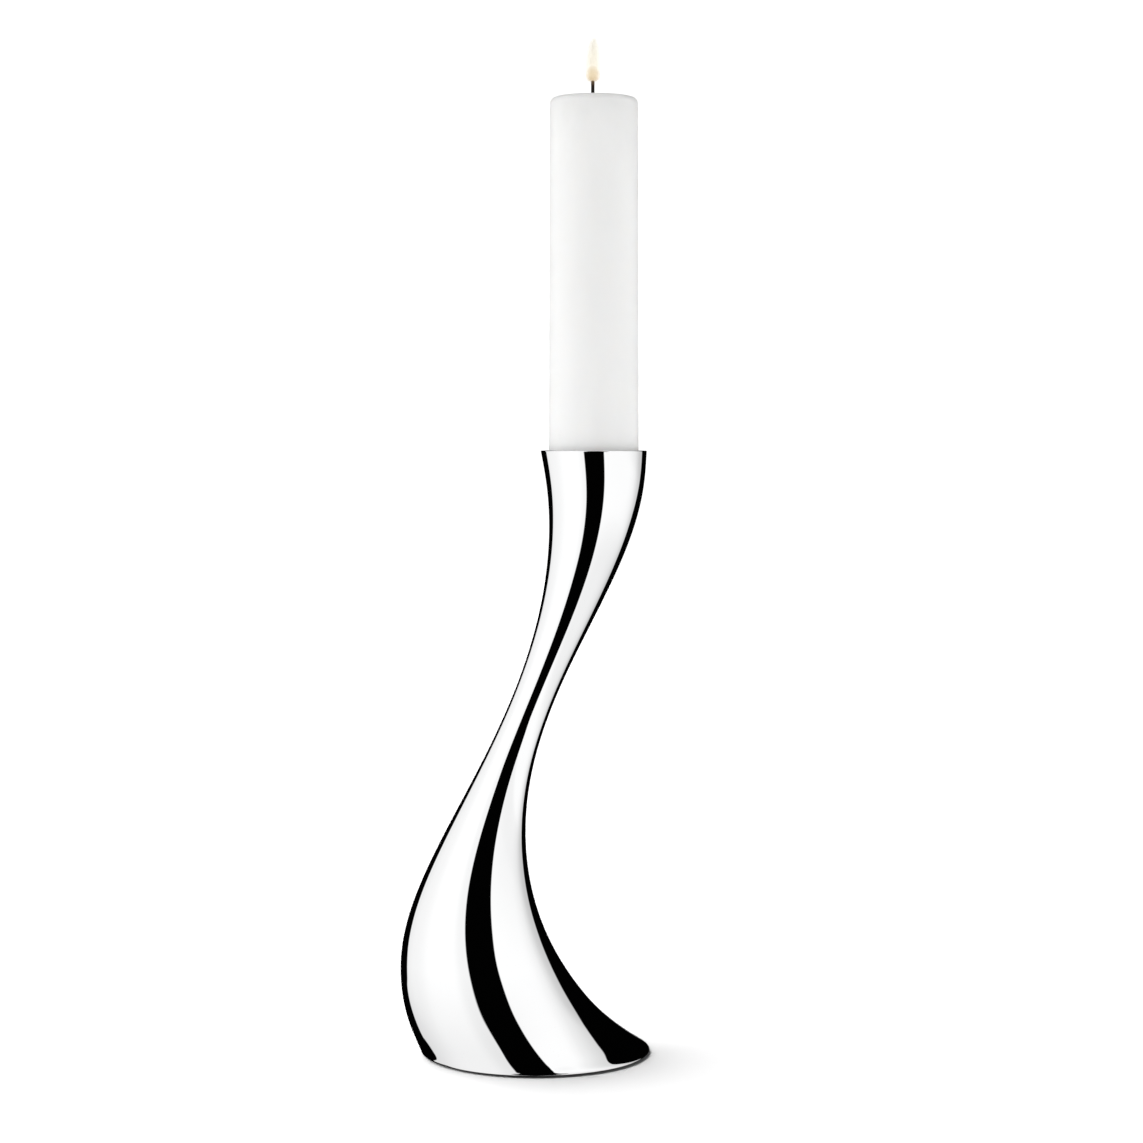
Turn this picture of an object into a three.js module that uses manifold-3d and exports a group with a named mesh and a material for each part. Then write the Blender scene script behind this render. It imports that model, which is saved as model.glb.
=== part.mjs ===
// Mirror-polished candlestick: a hollow S-shaped column that flares into a round weighted foot,
// with a turned cup in its rim that holds a wax pillar candle.
//
// Millimetres, +Z up. The origin is the middle of the felt pad's underside, where the foot
// stands. The column leans in the XZ plane only, so that plane is the object's mirror plane.

import * as THREE from 'three';
import { mergeVertices } from 'three/addons/utils/BufferGeometryUtils.js';
import Module from 'manifold-3d';

const wasm = await Module();
wasm.setup();

// ---------------------------------------------------------------- driving dimensions

// The column's outer skin is a stack of level circles. Their height, the X of their centre and
// their radius all follow one smooth curve, which these rows steer from the rim to the inner
// edge of the foot's curled lip.
const BODY_CIRCLES = [
  [399.5, 38.7, 34.9],
  [372.0, 40.6, 31.6],
  [336.0, 35.8, 25.9],
  [292.0, 22.0, 18.4],
  [244.0, 2.0, 13.4],
  [196.0, -17.8, 15.9],
  [152.0, -32.8, 24.9],
  [112.0, -41.1, 36.7],
  [76.0, -41.1, 48.5],
  [46.0, -32.2, 57.9],
  [25.0, -21.0, 64.8],
  [12.0, -9.7, 70.7],
  [5.9, -3.7, 74.0],
  [2.7, 0.0, 76.2],
  [1.3, 0.0, 76.0],
  [1.3, 0.0, 72.8],
  [1.3, 0.0, 68.0],
];
const WALL = 1.0;
const GAP = 0.3; // running gap between pieces that touch
const RIM_TOP = 400.0;
const LIP_BOTTOM = 1.3;

const CUP_X = 38.7;
const CUP_BORE_R = 30.1;
const CUP_OUTER_R = 30.85;
const CUP_LEDGE_R = 33.4;
const CUP_LEDGE_TOP = RIM_TOP - 1.0;
const CUP_LEDGE_THICK = 1.0;
const CUP_FLOOR_TOP = 388.0;
const CUP_FLOOR_THICK = 1.2;
const SEAL_SECTION_R = 0.85;

const CANDLE_BOTTOM_R = 29.5;
const CANDLE_TOP_R = 28.8;
const CANDLE_TOP = 631.0;
const CANDLE_SHOULDER_R = 4.0;
const MELT_POOL_R = 19.0;
const MELT_POOL_FLOOR_R = 15.2;
const MELT_POOL_DEPTH = 1.2;
const WICK_R = 1.15;
const WICK_TOP = 642.2;
const WICK_BOTTOM = 390.0;

const PAD_R = 72.0;
const PAD_THICK = LIP_BOTTOM - GAP;
const PAD_ACCESS_R = 5.0;

const PLATE_R = 67.0;
const PLATE_THICK = 2.2;
const PLATE_TOP = LIP_BOTTOM + PLATE_THICK;

const RING_INNER_R = 54.0;
const RING_TOP_R = 64.3;
const RING_FLANGE_R = 69.7;
const RING_FLANGE_TOP_R = 69.4;
const RING_FLANGE_THICK = 1.0;
const RING_SEAT_R = 68.2;
const RING_BOTTOM = PLATE_TOP + GAP;
const RING_THICK = 4.0;
const RING_TOP = RING_BOTTOM + RING_THICK;

const WEIGHT_R = 52.0;
const WEIGHT_TOP_R = 43.0;
const WEIGHT_BOTTOM = PLATE_TOP + GAP;
const WEIGHT_RIM_HEIGHT = 5.2;
const WEIGHT_TOP = WEIGHT_BOTTOM + 16.0;

const BOLT_R = 4.0; // M8
const BOLT_HEAD_R = 7.5;
const BOLT_TOP = 30.0;
const BOLT_SOCKET_FLATS = 5.0;
const WASHER_R = 8.5;
const WASHER_THICK = 1.6;
const NUT_FLATS = 13.0;
const NUT_THICK = 6.5;

const SCREW_R = 2.0; // M4
const SCREW_HEAD_R = 3.9;
const SCREW_TOP = RING_TOP + 1.0;
const SCREW_CIRCLE_R = 61.0;
const SCREW_COUNT = 4;
const SCREW_SOCKET_FLATS = 2.5;
const SOCKET_DEPTH = 1.2;
const SHANK_CHAMFER = 0.4;
const CUTTER_OVERLAP = 1.0; // how far a cutter starts outside the piece it cuts

const SEGMENTS = 40; // around every large round piece
const SMALL_SEGMENTS = 20; // around fasteners
const WICK_SEGMENTS = 12;
const STEPS_PER_CIRCLE = 2; // skin rings for each row of BODY_CIRCLES
const EDGE_STEPS = 4; // facets round the wall's half-round edge
const MERGE_TOLERANCE = 1e-4;

// ---------------------------------------------------------------- finishes

const FINISHES = {
  polished: { color: 0xdedfe2, metalness: 1.0, roughness: 0.03 },
  turned: { color: 0xc9cbce, metalness: 1.0, roughness: 0.22 },
  steel: { color: 0x9b9da1, metalness: 1.0, roughness: 0.45 },
  zinc: { color: 0xb7b9b6, metalness: 1.0, roughness: 0.35 },
  iron: { color: 0x3d3c3b, metalness: 0.6, roughness: 0.75 },
  silicone: { color: 0x2b2b2d, metalness: 0.0, roughness: 0.6 },
  felt: { color: 0x1c1c1f, metalness: 0.0, roughness: 1.0 },
  wax: { color: 0xf4f1ea, metalness: 0.0, roughness: 0.5 },
  wick: { color: 0x1a1512, metalness: 0.0, roughness: 1.0 },
};

const group = new THREE.Group();

function addPiece(name, geometry, finish, x = 0, y = 0, z = 0) {
  const mesh = new THREE.Mesh(geometry, new THREE.MeshStandardMaterial(FINISHES[finish]));
  mesh.name = name;
  mesh.position.set(x, y, z);
  group.add(mesh);
}

// ---------------------------------------------------------------- shape helpers

// A solid of revolution about Z. The profile is a list of [radius, height], anticlockwise.
function turned(profile, segments = SEGMENTS) {
  const points = profile.map(([radius, height]) => new THREE.Vector2(radius, height));
  return new THREE.LatheGeometry(points, segments).rotateX(Math.PI / 2);
}

function turnedRing(profile, segments = SEGMENTS) {
  return turned([...profile, profile[0]], segments);
}

// Points of a round corner in a profile, from one angle to another about its centre.
function corner(centreR, centreZ, radius, fromDeg, toDeg, steps = 3) {
  const points = [];
  for (let i = 0; i <= steps; i += 1) {
    const angle = THREE.MathUtils.degToRad(fromDeg + ((toDeg - fromDeg) * i) / steps);
    points.push([centreR + radius * Math.cos(angle), centreZ + radius * Math.sin(angle)]);
  }
  return points;
}

function hexPrism(flats, height) {
  const shape = new THREE.Shape();
  const cornerR = flats / Math.sqrt(3);
  for (let i = 0; i < 6; i += 1) {
    const angle = (i * Math.PI) / 3;
    const x = cornerR * Math.cos(angle);
    const y = cornerR * Math.sin(angle);
    if (i === 0) shape.moveTo(x, y);
    else shape.lineTo(x, y);
  }
  shape.closePath();
  return new THREE.ExtrudeGeometry(shape, { depth: height, bevelEnabled: false });
}

function toSolid(geometry) {
  const bare = geometry.clone();
  bare.deleteAttribute('normal');
  bare.deleteAttribute('uv');
  const merged = mergeVertices(bare, MERGE_TOLERANCE);
  return new wasm.Manifold(new wasm.Mesh({
    numProp: 3,
    vertProperties: new Float32Array(merged.attributes.position.array),
    triVerts: new Uint32Array(merged.index.array),
  }));
}

function toGeometry(solid) {
  const mesh = solid.getMesh();
  const geometry = new THREE.BufferGeometry();
  geometry.setAttribute('position', new THREE.BufferAttribute(mesh.vertProperties, 3));
  geometry.setIndex(new THREE.BufferAttribute(mesh.triVerts, 1));
  geometry.computeVertexNormals();
  return geometry;
}

function cut(geometry, cutters) {
  const solid = cutters.reduce((rest, cutter) => rest.subtract(toSolid(cutter)), toSolid(geometry));
  return toGeometry(solid);
}

// The places of the base screws, between the X and Y axes.
function screwPlaces() {
  const places = [];
  for (let i = 0; i < SCREW_COUNT; i += 1) {
    const angle = ((i + 0.5) * 2 * Math.PI) / SCREW_COUNT;
    places.push([SCREW_CIRCLE_R * Math.cos(angle), SCREW_CIRCLE_R * Math.sin(angle)]);
  }
  return places;
}

// ---------------------------------------------------------------- the column's skin

// One uniform cubic B-spline carries height, centre and radius together. A mirrored row past
// each end makes the curve start on the first row and stop on the last.
function bodyCurve(t) {
  const last = BODY_CIRCLES.length - 1;
  const span = Math.min(Math.floor(t), last - 1);
  const u = t - span;
  const mirrored = (end, next) => end.map((value, k) => 2 * value - next[k]);
  const row = (i) => {
    if (i < 0) return mirrored(BODY_CIRCLES[0], BODY_CIRCLES[1]);
    if (i > last) return mirrored(BODY_CIRCLES[last], BODY_CIRCLES[last - 1]);
    return BODY_CIRCLES[i];
  };
  const weights = [
    (1 - u) ** 3 / 6,
    (3 * u ** 3 - 6 * u ** 2 + 4) / 6,
    (-3 * u ** 3 + 3 * u ** 2 + 3 * u + 1) / 6,
    u ** 3 / 6,
  ];
  const slopes = [
    -((1 - u) ** 2) / 2,
    (3 * u ** 2 - 4 * u) / 2,
    (-3 * u ** 2 + 2 * u + 1) / 2,
    u ** 2 / 2,
  ];
  const blend = (factors, k) => factors.reduce((sum, f, i) => sum + f * row(span - 1 + i)[k], 0);
  return {
    value: [0, 1, 2].map((k) => blend(weights, k)),
    slope: [0, 1, 2].map((k) => blend(slopes, k)),
  };
}

// A ring of points on the skin at t, moved inwards by depth and on past the edge by reach.
function skinRing(t, depth, reach) {
  const { value: [height, centre, radius], slope: [dHeight, dCentre, dRadius] } = bodyCurve(t);
  const ring = [];
  for (let i = 0; i < SEGMENTS; i += 1) {
    const angle = (i * 2 * Math.PI) / SEGMENTS;
    const cos = Math.cos(angle);
    const sin = Math.sin(angle);
    const point = new THREE.Vector3(centre + radius * cos, radius * sin, height);
    const along = new THREE.Vector3(dCentre + dRadius * cos, dRadius * sin, dHeight).normalize();
    const drop = -dHeight;
    const outward = new THREE.Vector3(drop * cos, drop * sin, dRadius + dCentre * cos).normalize();
    ring.push(point.addScaledVector(outward, -depth).addScaledVector(along, reach));
  }
  return ring;
}

// The skin's outside, its inside and the two half-round edges join into one closed band.
function bodyShell() {
  const end = BODY_CIRCLES.length - 1;
  const steps = end * STEPS_PER_CIRCLE;
  const rings = [];
  const halfRound = (t, side, fromInside) => {
    for (let i = 1; i < EDGE_STEPS; i += 1) {
      const angle = (i * Math.PI) / EDGE_STEPS;
      const depth = (WALL / 2) * (1 - Math.cos(angle) * (fromInside ? -1 : 1));
      rings.push(skinRing(t, depth, (side * WALL * Math.sin(angle)) / 2));
    }
  };
  for (let i = 0; i <= steps; i += 1) rings.push(skinRing(i / STEPS_PER_CIRCLE, 0, 0));
  halfRound(end, 1, false);
  for (let i = steps; i >= 0; i -= 1) rings.push(skinRing(i / STEPS_PER_CIRCLE, WALL, 0));
  halfRound(0, -1, true);

  const positions = rings.flat().flatMap((point) => [point.x, point.y, point.z]);
  const indices = [];
  for (let j = 0; j < rings.length; j += 1) {
    const here = j * SEGMENTS;
    const below = ((j + 1) % rings.length) * SEGMENTS;
    for (let i = 0; i < SEGMENTS; i += 1) {
      const next = (i + 1) % SEGMENTS;
      indices.push(here + i, below + i, below + next);
      indices.push(here + i, below + next, here + next);
    }
  }
  const geometry = new THREE.BufferGeometry();
  geometry.setAttribute('position', new THREE.Float32BufferAttribute(positions, 3));
  geometry.setIndex(indices);
  geometry.computeVertexNormals();
  return geometry;
}

// ---------------------------------------------------------------- foot

// A countersunk fastener pointing up, its flat head level with z = 0.
function countersunk(headR, shankR, length, segments = SMALL_SEGMENTS) {
  return turned([
    [0, 0],
    [headR, 0],
    [shankR, headR - shankR],
    [shankR, length - SHANK_CHAMFER],
    [shankR - SHANK_CHAMFER, length],
    [0, length],
  ], segments);
}

// The hole that a countersunk fastener needs, a gap larger all round and open below.
function countersinkCutter(headR, shankR, length) {
  return turned([
    [0, -CUTTER_OVERLAP],
    [headR + GAP, -CUTTER_OVERLAP],
    [headR + GAP, 0],
    [shankR + GAP, headR - shankR],
    [shankR + GAP, length],
    [0, length],
  ], SMALL_SEGMENTS);
}

function screwCutters() {
  return screwPlaces().map(([x, y]) => (
    countersinkCutter(SCREW_HEAD_R, SCREW_R, SCREW_TOP).translate(x, y, LIP_BOTTOM)
  ));
}

function boltCutter() {
  return countersinkCutter(BOLT_HEAD_R, BOLT_R, BOLT_TOP).translate(0, 0, LIP_BOTTOM);
}

// The ring soldered on the curled lip, which the base screws thread into.
function footRing() {
  const seatBottom = LIP_BOTTOM + WALL + GAP;
  const ring = turnedRing([
    [RING_INNER_R, RING_BOTTOM],
    [RING_SEAT_R, RING_BOTTOM],
    [RING_SEAT_R, seatBottom],
    [RING_FLANGE_R, seatBottom],
    [RING_FLANGE_TOP_R, seatBottom + RING_FLANGE_THICK],
    [RING_TOP_R, RING_TOP],
    [RING_INNER_R, RING_TOP],
  ]);
  return cut(ring, screwCutters());
}

function basePlate() {
  const plate = turned([
    [0, LIP_BOTTOM],
    [PLATE_R, LIP_BOTTOM],
    [PLATE_R, PLATE_TOP],
    [0, PLATE_TOP],
  ]);
  return cut(plate, [...screwCutters(), boltCutter()]);
}

function ballastWeight() {
  const chamfer = 1.5;
  const weight = turned([
    [0, WEIGHT_BOTTOM],
    [WEIGHT_R, WEIGHT_BOTTOM],
    [WEIGHT_R, WEIGHT_BOTTOM + WEIGHT_RIM_HEIGHT],
    [WEIGHT_TOP_R + chamfer, WEIGHT_TOP - chamfer],
    [WEIGHT_TOP_R, WEIGHT_TOP],
    [0, WEIGHT_TOP],
  ]);
  return cut(weight, [boltCutter()]);
}

function socketHead(headR, shankR, length, flats) {
  const prism = hexPrism(flats, SOCKET_DEPTH + CUTTER_OVERLAP);
  return cut(countersunk(headR, shankR, length), [prism.translate(0, 0, -CUTTER_OVERLAP)]);
}

function washer() {
  return turnedRing([
    [BOLT_R + GAP, 0],
    [WASHER_R, 0],
    [WASHER_R, WASHER_THICK],
    [BOLT_R + GAP, WASHER_THICK],
  ], SMALL_SEGMENTS);
}

function nut() {
  const bore = turned([
    [0, -CUTTER_OVERLAP],
    [BOLT_R + GAP, -CUTTER_OVERLAP],
    [BOLT_R + GAP, NUT_THICK + CUTTER_OVERLAP],
    [0, NUT_THICK + CUTTER_OVERLAP],
  ], SMALL_SEGMENTS);
  return cut(hexPrism(NUT_FLATS, NUT_THICK), [bore]);
}

// The pad covers the plate and the lip, with a hole to reach each base screw.
function feltPad() {
  const outline = new THREE.Shape();
  outline.absarc(0, 0, PAD_R, 0, 2 * Math.PI, false);
  screwPlaces().forEach(([x, y]) => {
    const hole = new THREE.Path();
    hole.absarc(x, y, PAD_ACCESS_R, 0, 2 * Math.PI, true);
    outline.holes.push(hole);
  });
  const options = { depth: PAD_THICK, bevelEnabled: false, curveSegments: SMALL_SEGMENTS };
  return new THREE.ExtrudeGeometry(outline, options);
}

// ---------------------------------------------------------------- cup

function candleCup() {
  const ledgeBottom = CUP_LEDGE_TOP - CUP_LEDGE_THICK;
  const floorBottom = CUP_FLOOR_TOP - CUP_FLOOR_THICK;
  const edge = 0.3;
  return turned([
    [0, floorBottom],
    [CUP_OUTER_R - edge, floorBottom],
    [CUP_OUTER_R, floorBottom + edge],
    [CUP_OUTER_R, ledgeBottom],
    [CUP_LEDGE_R, ledgeBottom],
    [CUP_LEDGE_R, CUP_LEDGE_TOP],
    [CUP_BORE_R + edge, CUP_LEDGE_TOP],
    [CUP_BORE_R, CUP_LEDGE_TOP - edge],
    [CUP_BORE_R, CUP_FLOOR_TOP],
    [0, CUP_FLOOR_TOP],
  ]);
}

// The round-section ring between the cup and the neck, just under the ledge.
function cupSeal() {
  const centreR = CUP_OUTER_R + GAP + SEAL_SECTION_R;
  const centreZ = CUP_LEDGE_TOP - CUP_LEDGE_THICK - GAP - SEAL_SECTION_R;
  const section = corner(centreR, centreZ, SEAL_SECTION_R, 0, 360, 8);
  return turned(section);
}

// ---------------------------------------------------------------- candle

function candleWax() {
  const holeR = WICK_R + GAP;
  const bottom = CUP_FLOOR_TOP + GAP;
  const chamfer = 1.0;
  const shoulder = corner(
    CANDLE_TOP_R - CANDLE_SHOULDER_R, CANDLE_TOP - CANDLE_SHOULDER_R, CANDLE_SHOULDER_R, 0, 90, 4,
  );
  return turnedRing([
    [holeR, bottom],
    [CANDLE_BOTTOM_R - chamfer, bottom],
    [CANDLE_BOTTOM_R, bottom + chamfer],
    ...shoulder,
    [MELT_POOL_R, CANDLE_TOP],
    [MELT_POOL_FLOOR_R, CANDLE_TOP - MELT_POOL_DEPTH],
    [holeR, CANDLE_TOP - MELT_POOL_DEPTH],
  ]);
}

function candleWick() {
  const crown = 0.5;
  return turned([
    [0, WICK_BOTTOM],
    [WICK_R, WICK_BOTTOM],
    [WICK_R, WICK_TOP - crown],
    [WICK_R - crown, WICK_TOP],
    [0, WICK_TOP],
  ], WICK_SEGMENTS);
}

// ---------------------------------------------------------------- assembly

addPiece('body_shell', bodyShell(), 'polished');
addPiece('foot_ring', footRing(), 'steel');
addPiece('base_plate', basePlate(), 'steel');
addPiece('ballast_weight', ballastWeight(), 'iron');
const bolt = socketHead(BOLT_HEAD_R, BOLT_R, BOLT_TOP - LIP_BOTTOM, BOLT_SOCKET_FLATS);
addPiece('ballast_bolt', bolt, 'zinc', 0, 0, LIP_BOTTOM);
addPiece('ballast_washer', washer(), 'zinc', 0, 0, WEIGHT_TOP + GAP);
addPiece('ballast_nut', nut(), 'zinc', 0, 0, WEIGHT_TOP + WASHER_THICK + 2 * GAP);
screwPlaces().forEach(([x, y], i) => {
  const screw = socketHead(SCREW_HEAD_R, SCREW_R, SCREW_TOP - LIP_BOTTOM, SCREW_SOCKET_FLATS);
  addPiece(`base_screw_${i + 1}`, screw, 'zinc', x, y, LIP_BOTTOM);
});
addPiece('felt_pad', feltPad(), 'felt');
addPiece('candle_cup', candleCup(), 'turned', CUP_X);
addPiece('cup_seal', cupSeal(), 'silicone', CUP_X);
addPiece('candle_wax', candleWax(), 'wax', CUP_X);
addPiece('candle_wick', candleWick(), 'wick', CUP_X);

export default group;
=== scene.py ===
"""Mirror-polished S-shaped candlestick with a burning pillar candle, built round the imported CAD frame.

Lengths in the constants are millimetres, as in the part's source; MM turns them into metres.
"""

import math

import bpy
import numpy as np
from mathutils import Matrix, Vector


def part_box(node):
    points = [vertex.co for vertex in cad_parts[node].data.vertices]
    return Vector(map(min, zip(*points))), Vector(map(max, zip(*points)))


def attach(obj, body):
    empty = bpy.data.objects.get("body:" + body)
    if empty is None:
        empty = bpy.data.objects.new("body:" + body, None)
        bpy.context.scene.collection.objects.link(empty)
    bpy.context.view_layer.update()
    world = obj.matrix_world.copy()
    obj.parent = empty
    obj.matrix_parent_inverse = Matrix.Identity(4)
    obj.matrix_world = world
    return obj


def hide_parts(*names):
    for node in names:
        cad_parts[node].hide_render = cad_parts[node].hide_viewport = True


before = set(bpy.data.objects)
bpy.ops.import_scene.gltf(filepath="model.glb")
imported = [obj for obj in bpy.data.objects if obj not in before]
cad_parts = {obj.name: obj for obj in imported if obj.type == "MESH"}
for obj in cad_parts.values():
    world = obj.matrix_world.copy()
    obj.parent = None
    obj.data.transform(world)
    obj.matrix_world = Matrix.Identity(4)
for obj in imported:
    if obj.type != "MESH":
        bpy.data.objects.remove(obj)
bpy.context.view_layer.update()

MM = 0.001

# ------------------------------------------------------------------ sizes shared with the CAD

# Rows of height, centre X and radius that steer the column's outer skin from rim to foot lip.
BODY_CIRCLES = np.array([
    (399.5, 38.7, 34.9),
    (372.0, 40.6, 31.6),
    (336.0, 35.8, 25.9),
    (292.0, 22.0, 18.4),
    (244.0, 2.0, 13.4),
    (196.0, -17.8, 15.9),
    (152.0, -32.8, 24.9),
    (112.0, -41.1, 36.7),
    (76.0, -41.1, 48.5),
    (46.0, -32.2, 57.9),
    (25.0, -21.0, 64.8),
    (12.0, -9.7, 70.7),
    (5.9, -3.7, 74.0),
    (2.7, 0.0, 76.2),
    (1.3, 0.0, 76.0),
    (1.3, 0.0, 72.8),
    (1.3, 0.0, 68.0),
])
WALL = 1.0
SCREW_NODES = [f"base_screw_{i}" for i in range(1, 5)]


def span(node):
    """A CAD node's middle X and Y, its radius, and its lowest and highest Z, in millimetres."""
    low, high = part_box(node)
    middle = (low + high) / 2 / MM
    return middle.x, middle.y, (high.x - low.x) / 2 / MM, low.z / MM, high.z / MM


CUP_X, _, CUP_LEDGE_R, CUP_BOTTOM, CUP_TOP = span("candle_cup")
WAX_X, _, WAX_R, WAX_BOTTOM, WAX_TOP = span("candle_wax")
_, _, WICK_R, WICK_BOTTOM, WICK_TOP = span("candle_wick")
_, _, PAD_R, PAD_BOTTOM, PAD_TOP = span("felt_pad")
_, _, PLATE_R, PLATE_BOTTOM, PLATE_TOP = span("base_plate")
SCREW_PLACES = [span(node)[:2] for node in SCREW_NODES]
_, _, SCREW_HEAD_R, _, SCREW_TOP = span("base_screw_1")

# ------------------------------------------------------------------ mesh building


def add_mesh(name, vertices, faces, material, smooth=True):
    """A mesh object with its faces turned outwards. Vertices are in millimetres."""
    mesh = bpy.data.meshes.new(name)
    mesh.from_pydata((np.asarray(vertices) * MM).tolist(), [], faces)
    mesh.validate()
    if signed_volume(mesh) < 0:
        mesh.flip_normals()
    mesh.polygons.foreach_set("use_smooth", [smooth] * len(mesh.polygons))
    mesh.materials.append(material)
    piece = bpy.data.objects.new(name, mesh)
    bpy.context.scene.collection.objects.link(piece)
    return piece


def signed_volume(mesh):
    """Positive when the closed mesh's faces point outwards."""
    mesh.calc_loop_triangles()
    points = np.array([v.co for v in mesh.vertices])
    triangles = np.array([t.vertices for t in mesh.loop_triangles])
    a, b, c = (points[triangles[:, i]] for i in range(3))
    return float(np.einsum("ij,ij->i", a, np.cross(b, c)).sum()) / 6


def band_faces(ring_count, around, closed):
    """Quads between neighbouring rings of points, and from the last back to the first if closed."""
    faces = []
    for j in range(ring_count if closed else ring_count - 1):
        here, there = j * around, ((j + 1) % ring_count) * around
        for i in range(around):
            k = (i + 1) % around
            faces.append((here + i, here + k, there + k, there + i))
    return faces


def even_angles(count):
    """Angles spread evenly once round, from 0."""
    return np.linspace(0, 2 * math.pi, count, endpoint=False)


def level_ring(x, y, radius, angles, z):
    """Points round x, y at the height z. The radius is one number, or one for each angle."""
    return np.stack([x + radius * np.cos(angles), y + radius * np.sin(angles),
                     np.full(len(angles), z)], 1)


def pointed(rings, start, end):
    """Vertices and faces of a solid through the rings, closed by a point at each end."""
    around = len(rings[0])
    faces = band_faces(len(rings), around, False)
    first = len(rings) * around
    top = first - around
    for i in range(around):
        k = (i + 1) % around
        faces.append((first, k, i))
        faces.append((first + 1, top + i, top + k))
    return np.concatenate([*rings, [start, end]]), faces


def turned(name, profile, material, x=0.0, y=0.0, around=128, closed=False):
    """A solid of revolution. The profile is (radius, height) points, closed or from axis to axis."""
    angles = even_angles(around)
    rings = [level_ring(x, y, r, angles, z) for r, z in (profile if closed else profile[1:-1])]
    if closed:
        vertices, faces = np.concatenate(rings), band_faces(len(rings), around, True)
    else:
        vertices, faces = pointed(rings, (x, y, profile[0][1]), (x, y, profile[-1][1]))
    piece = add_mesh(name, vertices, faces, material)
    weigh_normals(piece)
    return piece


def weigh_normals(piece):
    """Keeps large flat faces flat in shading beside their small round edges."""
    modifier = piece.modifiers.new("weighted_normals", "WEIGHTED_NORMAL")
    modifier.weight = 100


def rounded(corners, closed=False, steps=5):
    """A profile with each corner (radius, height, fillet) rounded to its fillet."""
    points = []
    count = len(corners)
    for i, (r, z, fillet) in enumerate(corners):
        here = np.array((r, z), float)
        if fillet <= 0 or (not closed and i in (0, count - 1)):
            points.append(tuple(here))
            continue
        before = np.array(corners[i - 1][:2], float) - here
        after = np.array(corners[(i + 1) % count][:2], float) - here
        before /= np.linalg.norm(before)
        after /= np.linalg.norm(after)
        half = math.acos(np.clip(before @ after, -1, 1)) / 2
        reach = fillet / math.tan(half)
        bisector = (before + after) / np.linalg.norm(before + after)
        centre = here + bisector * fillet / math.sin(half)
        start = here + before * reach - centre
        end = here + after * reach - centre
        turn = math.atan2(start[0] * end[1] - start[1] * end[0], start @ end)
        for s in range(steps + 1):
            a = turn * s / steps
            cos, sin = math.cos(a), math.sin(a)
            points.append((
                centre[0] + start[0] * cos - start[1] * sin,
                centre[1] + start[0] * sin + start[1] * cos,
            ))
    return points


def hex_prism(name, flats, bottom, top, material, x=0.0, y=0.0):
    """An upright hexagonal prism, flats across."""
    corner_r = flats / math.sqrt(3)
    angles = [math.radians(60 * i) for i in range(6)]
    ring = [(x + corner_r * math.cos(a), y + corner_r * math.sin(a)) for a in angles]
    vertices = [(px, py, z) for z in (bottom, top) for px, py in ring]
    sides = [(i, (i + 1) % 6, 6 + (i + 1) % 6, 6 + i) for i in range(6)]
    ends = [tuple(reversed(range(6))), tuple(range(6, 12))]
    return add_mesh(name, vertices, sides + ends, material, smooth=False)


SHARP_EDGE_DEG = 35


def combine(piece, tools, operation="DIFFERENCE"):
    """Cuts the tools out of a piece, or keeps what they share, and deletes the tools."""
    piece.modifiers.clear()
    for tool in tools:
        modifier = piece.modifiers.new("cut", "BOOLEAN")
        modifier.operation = operation
        modifier.solver = "EXACT"
        modifier.object = tool
    graph = bpy.context.evaluated_depsgraph_get()
    result = bpy.data.meshes.new_from_object(piece.evaluated_get(graph))
    piece.modifiers.clear()
    piece.data = result
    for tool in tools:
        bpy.data.objects.remove(tool)
    result.shade_smooth()
    result.set_sharp_from_angle(angle=math.radians(SHARP_EDGE_DEG))
    weigh_normals(piece)
    piece.modifiers[-1].keep_sharp = True
    return piece


def place(piece, body, slot, *nodes):
    """Puts a finished piece on its body and hides the CAD nodes it stands for; the slot is not used."""
    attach(piece, body)
    if nodes:
        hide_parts(*nodes)
    return piece


# ------------------------------------------------------------------ materials


class Tree:
    """A node tree, with short calls to add, link and reckon."""

    def __init__(self, tree):
        self.tree = tree

    def add(self, kind, **settings):
        node = self.tree.nodes.new(kind)
        for key, value in settings.items():
            setattr(node, key, value)
        return node

    def link(self, source, target):
        self.tree.links.new(source, target)

    def math(self, operation, *values, clamp=False):
        node = self.add("ShaderNodeMath", operation=operation, use_clamp=clamp)
        for socket, value in zip(node.inputs, values):
            if isinstance(value, (int, float)):
                socket.default_value = value
            else:
                self.link(value, socket)
        return node.outputs["Value"]

    def share(self, source, low, high):
        """0 where source is low and 1 where it is high, clamped outside."""
        return self.math("DIVIDE", self.math("SUBTRACT", source, low), high - low, clamp=True)


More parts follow.
